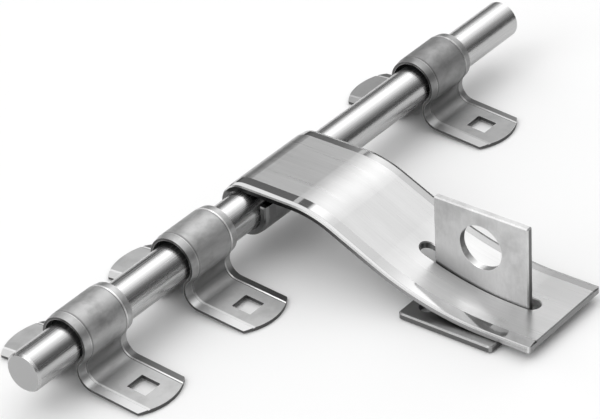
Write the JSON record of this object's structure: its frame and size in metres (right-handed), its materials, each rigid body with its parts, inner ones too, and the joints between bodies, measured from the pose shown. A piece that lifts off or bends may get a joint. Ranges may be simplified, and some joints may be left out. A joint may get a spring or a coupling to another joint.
{
  "type": "sliding door bolt with hasp and staple",
  "caption": "Round sliding door bolt in three sheet clamps, with a curled slotted hasp that drops over an upright padlock staple.",
  "frame": {"origin": "on the door face, below the middle of the bolt along Y and midway between the clamps' outer feet and the hasp's free end along X", "axes": "+Z out of the door, +Y along the bolt, away from its keeper clamp, +X from the bolt to the hasp's free end"},
  "size_m": [0.1684, 0.304, 0.041],
  "materials": {
    "bolt_bar": "satin, brushed along the bar, with bright bevelled ends",
    "hasp_plate": "brushed along the plate, with polished bevelled edges",
    "clamp_strip": "satin, with polished rims",
    "staple_plate": "satin"
  },
  "bodies": {
    "fixings": {"near_clamp": "clamp_strip", "middle_clamp": "clamp_strip", "far_clamp": "clamp_strip", "staple": "staple_plate"},
    "bolt": {"bolt_rod": "bolt_bar"},
    "hasp": {"hasp": "hasp_plate"}
  },
  "joints": [
    {"name": "bolt_slide", "type": "slide", "parent": "fixings", "child": "bolt", "axis": [0, 1, 0], "range_m": [-0.0033, 0]},
    {"name": "hasp_lift", "type": "hinge", "parent": "bolt", "child": "hasp", "pos_m": [-0.04702, 0, 0.01964], "axis": [0, -1, 0], "range_deg": [0, 190]}
  ]
}
